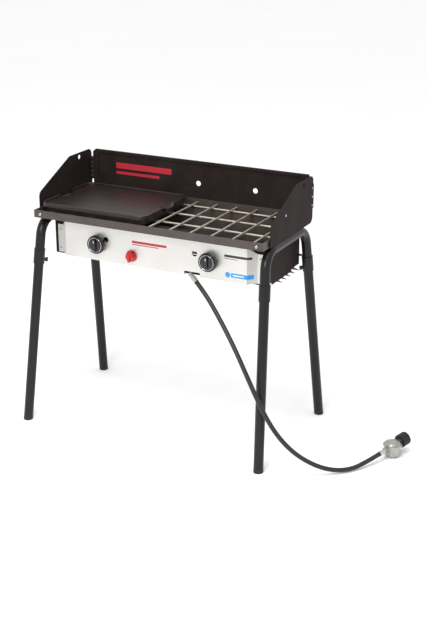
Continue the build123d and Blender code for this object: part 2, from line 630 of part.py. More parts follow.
hose_start, hose_second = on_inlet(50), on_inlet(112)
ferrule_in = rod(on_inlet(28), hose_start, HOSE_RADIUS + 1.0) + rod(on_inlet(30), on_inlet(34), HOSE_RADIUS + 1.5)

FLOOR_LIE = HOSE_RADIUS + 0.3
REGULATOR_Z = 27.0
ROUTE = [
    tuple(hose_start),
    tuple(hose_second),
    (257, -186, 484),
    (306, -209, 433),
    (352, -228, 375),
    (393, -242, 312),
    (430, -249, 249),
    (465, -248, 186),
    (503, -238, 127),
    (548, -218, 75),
    (601, -189, 36),
    (650, -157, 15),
    (694, -114, FLOOR_LIE + 1),
    (727, -62, 19),
    (749, -6, REGULATOR_Z),
]


def corner_radius(before, at, after):
    """Largest smooth arc at one point of a route."""
    first, second = Vector(*at) - Vector(*before), Vector(*after) - Vector(*at)
    half_turn = math.radians(first.get_angle(second)) / 2
    return 0.45 * min(first.length, second.length) / math.tan(half_turn)


radii = [corner_radius(*ROUTE[index - 1:index + 2]) for index in range(1, len(ROUTE) - 1)]
hose_path = FilletPolyline(*ROUTE, radius=radii)
nodes["gas_hose"] = sweep(Plane(origin=hose_path @ 0, z_dir=hose_path % 0) * Circle(HOSE_RADIUS), path=hose_path)
section = math.pi * HOSE_RADIUS ** 2
print("hose length", round(hose_path.length), "volume over section times length",
      round(nodes["gas_hose"].volume / (section * hose_path.length), 4))
print("hose radii", [round(value) for value in radii])

regulator_line = (Vector(*ROUTE[-1]) - Vector(*ROUTE[-2])).normalized()


def past_hose(distance, rise=0.0):
    """Point beyond the hose's end on its own line, raised by a height."""
    return Vector(*ROUTE[-1]) + regulator_line * distance + Vector(0, 0, rise)


ferrule_out = rod(past_hose(0), past_hose(22), HOSE_RADIUS + 1.0)
nodes["hose_ferrules"] = Compound(children=[ferrule_in, ferrule_out])


def regulator():
    """Cast body lying flat with a bolted flange and a bonnet above, hose port and inlet in one line."""
    centre = past_hose(64)
    profile = [(0, 1), (19, 1), (25, 6), (25, 36), (31, 38), (31, 43), (26, 44), (23, 50), (11, 54), (0, 54)]
    foot = (centre.X, centre.Y, 0)
    upright = Plane(origin=foot, x_dir=(1, 0, 0), z_dir=(0, -1, 0))
    body = revolve(upright * make_face(Polyline(*profile, close=True)), Axis(foot, (0, 0, 1)))
    body += rod(past_hose(22), past_hose(46), 9)
    body += extrude(Plane(origin=past_hose(24), z_dir=regulator_line) * RegularPolygon(11, 6), 10)
    return body + rod(past_hose(80), past_hose(114), 9)


def connector_nut():
    """Ribbed hand nut that screws on to the gas cylinder's valve."""
    start = Plane(origin=past_hose(98), z_dir=regulator_line)
    nut = extrude(start * (Circle(22) - Circle(9.08)), 30)
    grooves = [start * Rot(0, 0, angle) * Pos(23, 0) * Circle(2.8) for angle in row(15.0, 30.0, 12)]
    return nut - extrude(Sketch() + grooves, 24)


nodes["regulator"] = regulator()
nodes["connector_nut"] = connector_nut()

os.makedirs("parts", exist_ok=True)
for name, shape in nodes.items():
    export_step(shape, os.path.join("parts", name + ".step"))
print(len(nodes), "parts written")
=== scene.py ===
"""Looks of a two-burner camp stove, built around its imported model. Metres, +Z up, knobs towards -Y."""
import logging
import math
from dataclasses import dataclass, field
from enum import Enum
from typing import Callable, Iterable, Sequence

import bmesh
import bpy
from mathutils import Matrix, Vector


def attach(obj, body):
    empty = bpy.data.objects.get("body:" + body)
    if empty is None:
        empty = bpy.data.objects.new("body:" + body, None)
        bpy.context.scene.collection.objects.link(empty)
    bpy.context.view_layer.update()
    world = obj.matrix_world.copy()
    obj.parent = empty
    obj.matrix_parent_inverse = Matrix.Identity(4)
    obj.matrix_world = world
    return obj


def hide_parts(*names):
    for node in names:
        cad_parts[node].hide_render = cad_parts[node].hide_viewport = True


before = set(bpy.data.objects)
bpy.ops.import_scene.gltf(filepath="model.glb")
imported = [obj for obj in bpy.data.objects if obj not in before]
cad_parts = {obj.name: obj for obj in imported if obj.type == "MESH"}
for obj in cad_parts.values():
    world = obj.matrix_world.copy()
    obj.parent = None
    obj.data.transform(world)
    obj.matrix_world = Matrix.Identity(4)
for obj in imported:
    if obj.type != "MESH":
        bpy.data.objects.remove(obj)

log = logging.getLogger("camp_stove")
MM = 0.001
Point = tuple[float, float, float]


# --- shared helpers --------------------------------------------------------------------------------

def linear(code: str) -> tuple[float, float, float, float]:
    """Turns an sRGB hex code into linear colour.

    Args:
        code: Six hex digits, such as "8a8782".

    Returns:
        Linear red, green and blue, and full opacity.
    """
    parts = [int(code[i:i + 2], 16) / 255 for i in (0, 2, 4)]
    curve = [c / 12.92 if c <= 0.04045 else ((c + 0.055) / 1.055) ** 2.4 for c in parts]
    return (curve[0], curve[1], curve[2], 1.0)


def add(tree: bpy.types.NodeTree, kind: str, feeds: dict | None = None, **settings: object) -> bpy.types.Node:
    """Adds one node to a tree, with its settings, and its sockets set or linked.

    Args:
        tree: Shader or geometry tree.
        kind: Node type, such as "ShaderNodeTexNoise".
        feeds: Input name or index to a value, or to an output socket to link.
        settings: Node attributes.

    Returns:
        The new node.
    """
    made = tree.nodes.new(kind)
    for key, value in settings.items():
        setattr(made, key, value)
    for key, value in (feeds or {}).items():
        if isinstance(value, bpy.types.NodeSocket):
            tree.links.new(value, made.inputs[key])
        else:
            made.inputs[key].default_value = value
    return made


def per_metre(size_mm: float) -> float:
    """Texture scale that gives features of a size in millimetres."""
    return 1000.0 / size_mm


# --- finishes --------------------------------------------------------------------------------------

@dataclass(frozen=True)
class Finish:
    """A surface finish: base colour, gloss, and the irregularities the making leaves.

    The pattern sizes are in millimetres on the object.
    """

    name: str
    slot: str
    colour: str
    shade: str
    roughness: float
    metallic: float = 0.0
    coat: float = 0.0
    coat_roughness: float = 0.1
    specular: float = 0.5
    mottle_mm: float = 60.0
    grain_mm: float = 1.5
    relief_mm: float = 0.02
    spread: float = 0.08
    stretch: Point = (1.0, 1.0, 1.0)

    def material(self) -> bpy.types.Material:
        """Builds the material once, and returns it again after that.

        Returns:
            The material.
        """
        found = bpy.data.materials.get(self.name)
        if found:
            return found
        made = bpy.data.materials.new(self.name)
        made.use_nodes = True
        tree = made.node_tree
        tree.nodes.clear()
        surface = add(tree, "ShaderNodeBsdfPrincipled", {
            "Metallic": self.metallic, "Coat Weight": self.coat, "Coat Roughness": self.coat_roughness,
            "Specular IOR Level": self.specular})
        output = add(tree, "ShaderNodeOutputMaterial")
        tree.links.new(surface.outputs["BSDF"], output.inputs["Surface"])
        self.dress(tree, surface)
        made.diffuse_color = linear(self.colour)
        return made

    def place(self, tree: bpy.types.NodeTree) -> bpy.types.NodeSocket:
        """Object coordinates, stretched along the direction of the grain.

        Args:
            tree: The material's node tree.

        Returns:
            The socket that holds them.
        """
        where = add(tree, "ShaderNodeTexCoord").outputs["Object"]
        return add(tree, "ShaderNodeMapping", {"Vector": where, "Scale": self.stretch}).outputs["Vector"]

    def dress(self, tree: bpy.types.NodeTree, surface: bpy.types.Node) -> None:
        """Colour, roughness and bump from two sizes of noise.

        Args:
            tree: The material's node tree.
            surface: Its Principled shader.
        """
        where = self.place(tree)
        mottle = add(tree, "ShaderNodeTexNoise", {"Vector": where, "Scale": per_metre(self.mottle_mm),
                                                  "Detail": 6.0, "Roughness": 0.62})
        grain = add(tree, "ShaderNodeTexNoise", {"Vector": where, "Scale": per_metre(self.grain_mm),
                                                 "Detail": 3.0, "Roughness": 0.55})
        blend = add(tree, "ShaderNodeMapRange", {
            "Value": mottle.outputs["Fac"], "From Min": 0.3, "From Max": 0.7})
        tint = add(tree, "ShaderNodeMixRGB", {"Fac": blend.outputs["Result"], "Color1": linear(self.colour),
                                              "Color2": linear(self.shade)})
        tree.links.new(tint.outputs["Color"], surface.inputs["Base Color"])
        gloss = add(tree, "ShaderNodeMapRange", {
            "Value": grain.outputs["Fac"], "From Min": 0.25, "From Max": 0.75,
            "To Min": max(0.02, self.roughness - self.spread),
            "To Max": min(1.0, self.roughness + self.spread)})
        tree.links.new(gloss.outputs["Result"], surface.inputs["Roughness"])
        bump = add(tree, "ShaderNodeBump", {"Height": grain.outputs["Fac"], "Strength": 0.5,
                                            "Distance": self.relief_mm * MM})
        tree.links.new(bump.outputs["Normal"], surface.inputs["Normal"])


@dataclass(frozen=True)
class BrushedSteel(Finish):
    """Stainless sheet, belt-brushed: long fine lines along X that stretch the highlights across them."""

    line_mm: float = 0.7
    anisotropy: float = 0.55

    def dress(self, tree: bpy.types.NodeTree, surface: bpy.types.Node) -> None:
        """Brush lines in roughness and bump, with cloudy patches left by handling.

        Args:
            tree: The material's node tree.
            surface: Its Principled shader.
        """
        surface.inputs["Anisotropic"].default_value = self.anisotropy
        where = add(tree, "ShaderNodeTexCoord").outputs["Object"]
        lines = add(tree, "ShaderNodeTexNoise", {"Vector": self.place(tree), "Scale": per_metre(self.line_mm),
                                                 "Detail": 4.0, "Roughness": 0.7})
        cloud = add(tree, "ShaderNodeTexNoise", {"Vector": where, "Scale": per_metre(self.mottle_mm),
                                                 "Detail": 3.0})
        mix = add(tree, "ShaderNodeMath", {0: lines.outputs["Fac"], 1: cloud.outputs["Fac"]}, operation="ADD")
        factor = add(tree, "ShaderNodeMapRange", {
            "Value": mix.outputs["Value"], "From Min": 0.7, "From Max": 1.3})
        tint = add(tree, "ShaderNodeMixRGB", {"Fac": factor.outputs["Result"], "Color1": linear(self.colour),
                                              "Color2": linear(self.shade)})
        tree.links.new(tint.outputs["Color"], surface.inputs["Base Color"])
        gloss = add(tree, "ShaderNodeMapRange", {
            "Value": lines.outputs["Fac"], "From Min": 0.3, "From Max": 0.7,
            "To Min": self.roughness - self.spread, "To Max": self.roughness + self.spread})
        tree.links.new(gloss.outputs["Result"], surface.inputs["Roughness"])
        bump = add(tree, "ShaderNodeBump", {"Height": lines.outputs["Fac"], "Strength": 0.35,
                                            "Distance": self.relief_mm * MM})
        tree.links.new(bump.outputs["Normal"], surface.inputs["Normal"])


@dataclass(frozen=True)
class ScuffedCoat(Finish):
    """Baked enamel or powder coat over steel: fine orange peel, with faint dusty scuffs from handling."""

    scuff: str = "8f8a84"
    scuff_amount: float = 0.12
    scuff_mm: float = 9.0
    zone_mm: float = 140.0
    scuff_stretch: Point = (1.0, 1.0, 0.35)

    def dress(self, tree: bpy.types.NodeTree, surface: bpy.types.Node) -> None:
        """Adds scuffs and dust to the plain two-noise coat.

        Args:
            tree: The material's node tree.
            surface: Its Principled shader.
        """
        super().dress(tree, surface)
        where = add(tree, "ShaderNodeTexCoord").outputs["Object"]
        streak = add(tree, "ShaderNodeMapping", {"Vector": where, "Scale": self.scuff_stretch})
        marks = add(tree, "ShaderNodeTexNoise", {"Vector": streak.outputs["Vector"],
                                                 "Scale": per_metre(self.scuff_mm), "Detail": 8.0,
                                                 "Roughness": 0.75, "Distortion": 1.5})
        region = add(tree, "ShaderNodeTexNoise", {"Vector": where, "Scale": per_metre(self.zone_mm),
                                                  "Detail": 2.0})
        strong = add(tree, "ShaderNodeMapRange", {"Value": marks.outputs["Fac"], "From Min": 0.62,
                                                  "From Max": 0.74, "To Max": self.scuff_amount * 2})
        zone = add(tree, "ShaderNodeMapRange", {
            "Value": region.outputs["Fac"], "From Min": 0.45, "From Max": 0.65})
        amount = add(tree, "ShaderNodeMath", {0: strong.outputs["Result"], 1: zone.outputs["Result"]},
                     operation="MULTIPLY")
        old = surface.inputs["Base Color"].links[0].from_socket
        tint = add(tree, "ShaderNodeMixRGB", {"Fac": amount.outputs["Value"], "Color1": old,
                                              "Color2": linear(self.scuff)})
        tree.links.new(tint.outputs["Color"], surface.inputs["Base Color"])


# Satin powder coat on welded tube: near black, soft broad highlights, fine orange peel.
LEG_COAT = ScuffedCoat("powder_coated_steel", "black_coat", "161515", "100f0f", 0.30, specular=0.30,
                       grain_mm=1.2, relief_mm=0.05, scuff_amount=0.10)
# High-heat enamel on angle iron: warm grey brown, a little more gloss than the legs.
RAIL_ENAMEL = ScuffedCoat("heat_enamel_on_angle_iron", "rail_coat", "453d39", "38312e", 0.38, specular=0.45,
                          grain_mm=1.6, relief_mm=0.05, scuff_amount=0.14)
# The same enamel on thin sheet, baked darker, with a reddish cast.
SHEET_ENAMEL = ScuffedCoat("heat_enamel_on_sheet", "black_coat", "2a2322", "1f1918", 0.50, specular=0.05,
                           grain_mm=1.4, relief_mm=0.04, mottle_mm=90.0, scuff_amount=0.16)
# Sheet near the flames, the box's back wall: the same enamel painted a lighter grey brown than the other
# sheet. This is painted light, for the light that reaches it through the grate; the scuffs on it are real
# wear.
PAINTED_LIT_BACK_ENAMEL = ScuffedCoat("back_enamel_painted_lit", "black_coat", "4a423c", "38312d", 0.55, specular=0.3,
                           grain_mm=1.6, relief_mm=0.05, mottle_mm=60.0, scuff_amount=0.2)
# Belt-brushed stainless sheet: pale, warm, with lines along its length.
PANEL_STEEL = BrushedSteel("brushed_stainless_sheet", "brushed_panel", "d6d4d1", "c9c7c3", 0.40, metallic=0.7,
                           spread=0.07, relief_mm=0.01, mottle_mm=120.0, stretch=(0.012, 1.0, 1.0))
# Nickel-plated wire rod dulled by heat: warm grey, uneven gloss.
ROD_NICKEL = Finish("heat_dulled_nickel_rod", "grate_rod", "c6bcb1", "a1978c", 0.38, metallic=0.55,
                    spread=0.12, mottle_mm=35.0, grain_mm=2.5, relief_mm=0.03)
# Sand-cast iron rubbed with oil and baked: brown-black, low sheen, pebbled skin.
CAST_IRON = Finish("seasoned_cast_iron", "cast_iron", "241816", "1a1211", 0.40, specular=0.5,
                   spread=0.12, mottle_mm=45.0, grain_mm=1.8, relief_mm=0.12)
# Zinc-plated steel fastener: cool bright grey with slight clouding.
ZINC = Finish("zinc_plated_steel", "zinc_steel", "cfcecb", "b2b1ae", 0.24, metallic=1.0, spread=0.08,
              mottle_mm=8.0, grain_mm=0.8, relief_mm=0.01)
# Turned brass, lightly tarnished.
BRASS = Finish("turned_brass", "brass", "b89a5a", "98794a", 0.26, metallic=1.0, mottle_mm=10.0, grain_mm=0.8,
               relief_mm=0.01)
# Die-cast zinc alloy, tumbled: dull silver with a fine grainy skin.
DIE_CAST = Finish("tumbled_die_cast_zinc", "aluminium", "b4b3b0", "94938f", 0.38, metallic=0.95, spread=0.1,
                  mottle_mm=18.0, grain_mm=0.9, relief_mm=0.04)
# Phenolic knob, polished: deep black with a clear sharp highlight.
KNOB_BLACK = Finish("polished_black_phenolic", "black_gloss", "0b0b0c", "101011", 0.18, specular=0.5,
                    spread=0.05, mottle_mm=20.0, grain_mm=2.0, relief_mm=0.004)
# Chromed trim ring pressed into the knob.
CHROME = Finish("bright_chrome", "zinc_steel", "e2e2e2", "cfcfd0", 0.09, metallic=1.0, spread=0.04,
                mottle_mm=12.0, grain_mm=1.5, relief_mm=0.003)
# Moulded nylon in a strong red, semi-gloss.
IGNITER_RED = Finish("moulded_red_nylon", "red_gloss", "b80f18", "a00c14", 0.26, specular=0.5,
                     spread=0.06, mottle_mm=14.0, grain_mm=1.2, relief_mm=0.01)
# Moulded glass-filled nylon, matt black.
NYLON_BLACK = Finish("moulded_black_nylon", "black_plastic", "191919", "121212", 0.5, specular=0.4,
                     spread=0.08, mottle_mm=16.0, grain_mm=0.9, relief_mm=0.03)
# Extruded gas hose rubber: black with a dull sheen and faint lengthwise variation.
HOSE_RUBBER = Finish("extruded_hose_rubber", "rubber", "171717", "1f1f1e", 0.42, specular=0.45,
                     spread=0.08, mottle_mm=25.0, grain_mm=1.0, relief_mm=0.03)
# Glazed steatite ceramic.
CERAMIC = Finish("glazed_steatite", "ceramic", "e6dfce", "d8cfba", 0.2, coat=0.5, mottle_mm=12.0,
                 grain_mm=1.0, relief_mm=0.01)
# Screen-printed inks and a printed vinyl label.
INK_RED = Finish("screen_ink_red", "red_gloss", "b02230", "9c1c29", 0.45, mottle_mm=6.0, grain_mm=0.6,
                 relief_mm=0.005)
INK_DARK = Finish("screen_ink_charcoal", "black_gloss", "1d1d20", "2a2a2d", 0.5, mottle_mm=6.0, grain_mm=0.6,
                  relief_mm=0.005)
LABEL_BLUE = Finish("vinyl_label_blue", "black_gloss", "2492d8", "1f86ca", 0.32, mottle_mm=12.0, grain_mm=0.8,
                    relief_mm=0.005)
LABEL_WHITE = Finish("vinyl_label_white", "black_gloss", "eef2f5", "e3e8ec", 0.35, mottle_mm=12.0,
                     grain_mm=0.8, relief_mm=0.005)
# Matt white background paper, which isn't part of the stove.
STUDIO_PAPER = Finish("studio_paper", "black_coat", "fbfbfb", "f9f9f9", 0.9, specular=0.1, mottle_mm=900.0,
                      grain_mm=8.0, relief_mm=0.01)


# --- mesh building ---------------------------------------------------------------------------------

def finished(name: str, mesh: bpy.types.Mesh, finish: Finish, smooth: float = 35.0) -> bpy.types.Object:
    """Makes a piece from a mesh and dresses it.

    Args:
        name: Piece name.
        mesh: Its mesh, already in place.
        finish: Its finish.
        smooth: Edges blunter than this many degrees are shaded smooth.

    Returns:
        The object, at the origin.
    """
    mesh.name = name
    mesh.materials.clear()
    mesh.materials.append(finish.material())
    mesh.polygons.foreach_set("use_smooth", [True] * len(mesh.polygons))
    mesh.set_sharp_from_angle(angle=math.radians(smooth))
    made = bpy.data.objects.new(name, mesh)
    bpy.context.scene.collection.objects.link(made)
    log.info("piece %s: %d faces, %s", name, len(mesh.polygons), finish.name)
    return made


def shell(rings: Sequence[Sequence[Vector]], cap_start: bool = True, cap_end: bool = True) -> bpy.types.Mesh:
    """Skins closed rings of equal count into one mesh with outward faces.

    Args:
        rings: Each ring's points, in order.
        cap_start: Closes the first ring.
        cap_end: Closes the last ring.

    Returns:
        The mesh.
    """
    work = bmesh.new()
    rows = [[work.verts.new(point) for point in ring] for ring in rings]
    for low, high in zip(rows, rows[1:]):
        for index in range(len(low)):
            after = (index + 1) % len(low)
            work.faces.new((low[index], low[after], high[after], high[index]))
    if cap_start:
        work.faces.new(list(reversed(rows[0])))
    if cap_end:
        work.faces.new(rows[-1])
    bmesh.ops.remove_doubles(work, verts=work.verts, dist=1e-6)
    bmesh.ops.recalc_face_normals(work, faces=work.faces)
    mesh = bpy.data.meshes.new("shell")
    work.to_mesh(mesh)
    work.free()
    return mesh


def turned(profile: Iterable[tuple[float, float]], base: Point, axis: Point,
           steps: int = 64) -> bpy.types.Mesh:
    """Turns a profile round an axis, as on a lathe.

    Args:
        profile: Radius and distance along the axis, in millimetres.
        base: Where distance 0 is, in metres.
        axis: Direction of the axis.
        steps: Points round each ring.

    Returns:
        The closed mesh.
    """
    line = Vector(axis).normalized()
    across = line.orthogonal().normalized()
    other = line.cross(across)
    rings = []
    for radius, height in profile:
        centre = Vector(base) + line * height * MM
        reach = max(radius, 0.01) * MM
        rings.append([centre + (across * math.cos(a) + other * math.sin(a)) * reach
                      for a in (2 * math.pi * step / steps for step in range(steps))])
    return shell(rings)


def oval(centre: Vector, long_way: Vector, short_way: Vector, length: float, width: float,
         steps: int = 12) -> list[Vector]:
    """Points of a slot shape with round ends.

    Args:
        centre: Middle of the slot, in metres.
        long_way: Unit vector along it.
        short_way: Unit vector across it.
        length: Full length, in millimetres.
        width: Full width, in millimetres.
        steps: Points in each round end, less one.

    Returns:
        The ring of points, in metres.
    """
    straight, radius = (length - width) / 2 * MM, width / 2 * MM
    points = []
    for end in (1, -1):
        for step in range(steps + 1):
            angle = -math.pi / 2 + math.pi * step / steps
            points.append(centre + long_way * end * (straight + radius * math.cos(angle))
                          + short_way * end * radius * math.sin(angle))
    return points


def slab(corners: Sequence[Point], lift: Point) -> bpy.types.Mesh:
    """A thin plate from a flat outline, thickened by a vector."""
    return shell([[Vector(c) for c in corners], [Vector(c) + Vector(lift) for c in corners]])


def joined(name: str, meshes: Iterable[bpy.types.Mesh], finish: Finish,
           smooth: float = 35.0) -> bpy.types.Object:
    """Makes one piece from several meshes.

    Args:
        name: Piece name.
        meshes: Its meshes, already in place.
        finish: Its finish.
        smooth: Smoothing angle in degrees.

    Returns:
        The object, at the origin.
    """
    work = bmesh.new()
    for mesh in meshes:
        work.from_mesh(mesh)
    mesh = bpy.data.meshes.new(name)
    work.to_mesh(mesh)
    work.free()
    return finished(name, mesh, finish, smooth)


# --- geometry nodes --------------------------------------------------------------------------------

class Socket(Enum):
    """Kinds of group input used by the patterns."""

    NUMBER = "NodeSocketFloat"
    COUNT = "NodeSocketInt"
    VECTOR = "NodeSocketVector"
    SOLID = "NodeSocketObject"


@dataclass
class Pattern:
    """A Geometry Nodes pattern: a tree with named inputs, run once and kept as a plain mesh."""

    name: str
    inputs: dict[str, tuple[Socket, object]]
    body: Callable[[bpy.types.NodeTree, bpy.types.Node], bpy.types.NodeSocket]

    def run(self, finish: Finish, points: Sequence[Point] = ((0.0, 0.0, 0.0),),
            smooth: float = 35.0) -> bpy.types.Object:
        """Builds the tree, evaluates it on a set of points and returns the finished piece.

        Args:
            finish: Set as the pattern's material.
            points: Vertices of the mesh that the tree starts from.
            smooth: Smoothing angle in degrees.

        Returns:
            The piece, a plain mesh with no modifier.
        """
        tree = bpy.data.node_groups.new(self.name + "_nodes", "GeometryNodeTree")
        tree.interface.new_socket("Geometry", in_out="INPUT", socket_type="NodeSocketGeometry")
        tree.interface.new_socket("Geometry", in_out="OUTPUT", socket_type="NodeSocketGeometry")
        names = {label: tree.interface.new_socket(label, in_out="INPUT", socket_type=kind.value).identifier
                 for label, (kind, _) in self.inputs.items()}
        entry, leave = add(tree, "NodeGroupInput"), add(tree, "NodeGroupOutput")
        shape = self.body(tree, entry)
        solid = add(tree, "GeometryNodeRealizeInstances", {"Geometry": shape})
        dressed = add(tree, "GeometryNodeSetMaterial", {"Geometry": solid.outputs[0],
                                                        "Material": finish.material()})
        tree.links.new(dressed.outputs[0], leave.inputs[0])
        dots = bpy.data.meshes.new(self.name + "_points")
        dots.from_pydata([tuple(p) for p in points], [], [])
        holder = bpy.data.objects.new(self.name + "_points", dots)
        bpy.context.scene.collection.objects.link(holder)
        modifier = holder.modifiers.new("pattern", "NODES")
        modifier.node_group = tree
        for label, (_, value) in self.inputs.items():
            modifier[names[label]] = value
        bpy.context.view_layer.update()
        mesh = bpy.data.meshes.new_from_object(holder.evaluated_get(bpy.context.evaluated_depsgraph_get()))
        holder.modifiers.remove(modifier)
        bpy.data.objects.remove(holder)
        return finished(self.name, mesh, finish, smooth)


def rod_row(name: str, count: int, start: Point, step: Point, turn: Point, radius: float,
            length: float) -> Pattern:
    """Evenly spaced round rods.

    Args:
        name: Piece name.
        count: Number of rods.
        start: Middle of the first rod.
        step: From one rod's middle to the next.
        turn: Rotation that lays an upright rod down, in radians.
        radius: Rod radius.
        length: Rod length.

    Returns:
        The pattern.
    """
    def body(tree: bpy.types.NodeTree, entry: bpy.types.Node) -> bpy.types.NodeSocket:
        """Mesh line, one instanced cylinder per point.

        Args:
            tree: The pattern's node tree.
            entry: Its group input.

        Returns:
            The socket that holds the copies.
        """
        line = add(tree, "GeometryNodeMeshLine", {"Count": entry.outputs["Rod count"],
                                                  "Start Location": entry.outputs["First rod"],
                                                  "Offset": entry.outputs["Rod pitch"]})
        bar = add(tree, "GeometryNodeMeshCylinder", {"Vertices": 20, "Side Segments": 24,
                                                     "Radius": entry.outputs["Rod radius"],
                                                     "Depth": entry.outputs["Rod length"]})
        placed = add(tree, "GeometryNodeInstanceOnPoints", {"Points": line.outputs["Mesh"],
                                                            "Instance": bar.outputs["Mesh"],
                                                            "Rotation": entry.outputs["Rod turn"]})
        return placed.outputs["Instances"]

    return Pattern(name, {"Rod count": (Socket.COUNT, count), "First rod": (Socket.VECTOR, start),
                          "Rod pitch": (Socket.VECTOR, step), "Rod turn": (Socket.VECTOR, turn),
                          "Rod radius": (Socket.NUMBER, radius), "Rod length": (Socket.NUMBER, length)}, body)


def copies(name: str, solid: bpy.types.Object, turn: Point, wobble: float = 0.0, seed: int = 7) -> Pattern:
    """A shape repeated on every starting point, all turned one way, with an optional random size.

    Args:
        name: Piece name.
        solid: Shape to repeat.
        turn: Rotation of each copy, in radians.
        wobble: Largest change of size, as a share.
        seed: Fixed seed of the random change.

    Returns:
        The pattern.
    """
    def body(tree: bpy.types.NodeTree, entry: bpy.types.Node) -> bpy.types.NodeSocket:
        """Instances of one object on points.

        Args:
            tree: The pattern's node tree.
            entry: Its group input.

        Returns:
            The socket that holds the copies.
        """
        shape = add(tree, "GeometryNodeObjectInfo", {"Object": entry.outputs["Shape"]})
        size = add(tree, "FunctionNodeRandomValue", {2: 1.0 - wobble, 3: 1.0, "Seed": entry.outputs["Seed"]},
                   data_type="FLOAT")
        placed = add(tree, "GeometryNodeInstanceOnPoints", {
            "Points": entry.outputs["Geometry"], "Instance": shape.outputs["Geometry"],
            "Rotation": entry.outputs["Turn"], "Scale": size.outputs[1]})
        return placed.outputs["Instances"]

    return Pattern(name, {"Shape": (Socket.SOLID, solid), "Turn": (Socket.VECTOR, turn),
                          "Seed": (Socket.COUNT, seed)}, body)


def ring_of(name: str, solid: bpy.types.Object, count: int, radius: float, centre: Point,
            turn: Point) -> Pattern:
    """A shape repeated round a circle, each copy facing outwards.

    Args:
        name: Piece name.
        solid: Shape to repeat, its X axis pointing outwards.
        count: Number of copies.
        radius: Circle radius.
        centre: Circle centre.
        turn: Rotation of the whole circle, in radians.

    Returns:
        The pattern.
    """
    def body(tree: bpy.types.NodeTree, entry: bpy.types.Node) -> bpy.types.NodeSocket:
        """Instances on a circle's points, turned by their place in it.

        Args:
            tree: The pattern's node tree.
            entry: Its group input.

        Returns:
            The socket that holds the copies.
        """
        circle = add(tree, "GeometryNodeMeshCircle", {"Vertices": entry.outputs["Count"],
                                                      "Radius": entry.outputs["Radius"]})
        shape = add(tree, "GeometryNodeObjectInfo", {"Object": entry.outputs["Shape"]})
        index = add(tree, "GeometryNodeInputIndex")
        share = add(tree, "ShaderNodeMath", {0: index.outputs[0], 1: entry.outputs["Count"]},
                    operation="DIVIDE")
        angle = add(tree, "ShaderNodeMath", {0: share.outputs[0], 1: 2 * math.pi}, operation="MULTIPLY")
        facing = add(tree, "ShaderNodeCombineXYZ", {"Z": angle.outputs[0]})
        placed = add(tree, "GeometryNodeInstanceOnPoints", {
            "Points": circle.outputs["Mesh"], "Instance": shape.outputs["Geometry"],
            "Rotation": facing.outputs[0]})
        moved = add(tree, "GeometryNodeTransform", {
            "Geometry": placed.outputs["Instances"], "Translation": entry.outputs["Centre"],
            "Rotation": entry.outputs["Turn"]})
        return moved.outputs["Geometry"]

    return Pattern(name, {"Shape": (Socket.SOLID, solid), "Count": (Socket.COUNT, count),
                          "Radius": (Socket.NUMBER, radius), "Centre": (Socket.VECTOR, centre),
                          "Turn": (Socket.VECTOR, turn)}, body)


def template(mesh: bpy.types.Mesh) -> bpy.types.Object:
    """A loose object for a pattern to repeat, removed by `discard` after use.

    Args:
        mesh: The shape to repeat.

    Returns:
        The loose object.
    """
    made = bpy.data.objects.new("template", mesh)
    bpy.context.scene.collection.objects.link(made)
    return made


def discard(*made: bpy.types.Object) -> None:
    """Removes templates.

    Args:
        made: The loose objects.
    """
    for one in made:
        bpy.data.objects.remove(one)


# --- fasteners -------------------------------------------------------------------------------------

class Drive(Enum):
    """Head shapes of the stove's fasteners."""

    CROSS = "cross"
    HEX = "hex"


@dataclass
class Fastener:
    """A screw or bolt head, sizes in millimetres, standing on the plane z = 0 with its head along +Z."""

    drive: Drive = Drive.CROSS
    radius: float = 4.8
    height: float = 2.4
    steps: int = 28

    def mesh(self) -> bpy.types.Mesh:
        """Builds the head."""
        return self.pan_head() if self.drive is Drive.CROSS else self.hex_head()

    def pan_head(self) -> bpy.types.Mesh:
        """Low dome with a four-armed recess, drawn as rings whose inner points sink along the arms.

        Returns:
            The head's mesh.
        """
        rings, steps = [], 48
        for share, rise in ((1.0, 0.0), (1.0, 0.35), (0.96, 0.62), (0.84, 0.86), (0.66, 0.97), (0.5, 1.0),
                            (0.34, 1.0), (0.18, 1.0), (0.02, 1.0)):
            ring = []
            for step in range(steps):
                angle = 2 * math.pi * step / steps
                arm = max(0.0, math.cos(2 * angle) ** 2 * 4 - 3)
                sink = 0.55 * arm if share < 0.6 else 0.0
                sink = 0.6 if share < 0.2 else sink
                reach = self.radius * share * MM
                ring.append(Vector((reach * math.cos(angle), reach * math.sin(angle),
                                    self.height * (rise - sink) * MM)))
            rings.append(ring)
        return shell(rings)

    def hex_head(self) -> bpy.types.Mesh:
        """Six flats with a rounded top edge on a round washer.

        Returns:
            The head's mesh.
        """
        washer = turned(((self.radius, 0), (self.radius, 0.7), (self.radius - 0.2, 0.9), (0, 0.9)), (0, 0, 0),
                        (0, 0, 1), self.steps)
        rings = []
        for share, height in ((1.0, 0.9), (1.0, self.height - 0.5), (0.9, self.height), (0.4, self.height)):
            reach = (self.radius - 0.7) * share * MM
            rings.append([Vector((reach * math.cos(a), reach * math.sin(a), height * MM))
                          for a in (math.pi / 3 * corner for corner in range(6))])
        work = bmesh.new()
        work.from_mesh(washer)
        work.from_mesh(shell(rings))
        mesh = bpy.data.meshes.new("hex_head")
        work.to_mesh(mesh)
        work.free()
        return mesh


# --- sub-assemblies --------------------------------------------------------------------------------

def paint(finish: Finish, *nodes: str) -> None:
    """Gives CAD nodes a finish.

    Args:
        finish: The finish.
        nodes: Names of the nodes.
    """
    for name in nodes:
        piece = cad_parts[name]
        if not piece.material_slots:
            piece.data.materials.append(finish.material())
        for place in piece.material_slots:
            place.material = finish.material()
        log.info("node %s: %s", name, finish.name)


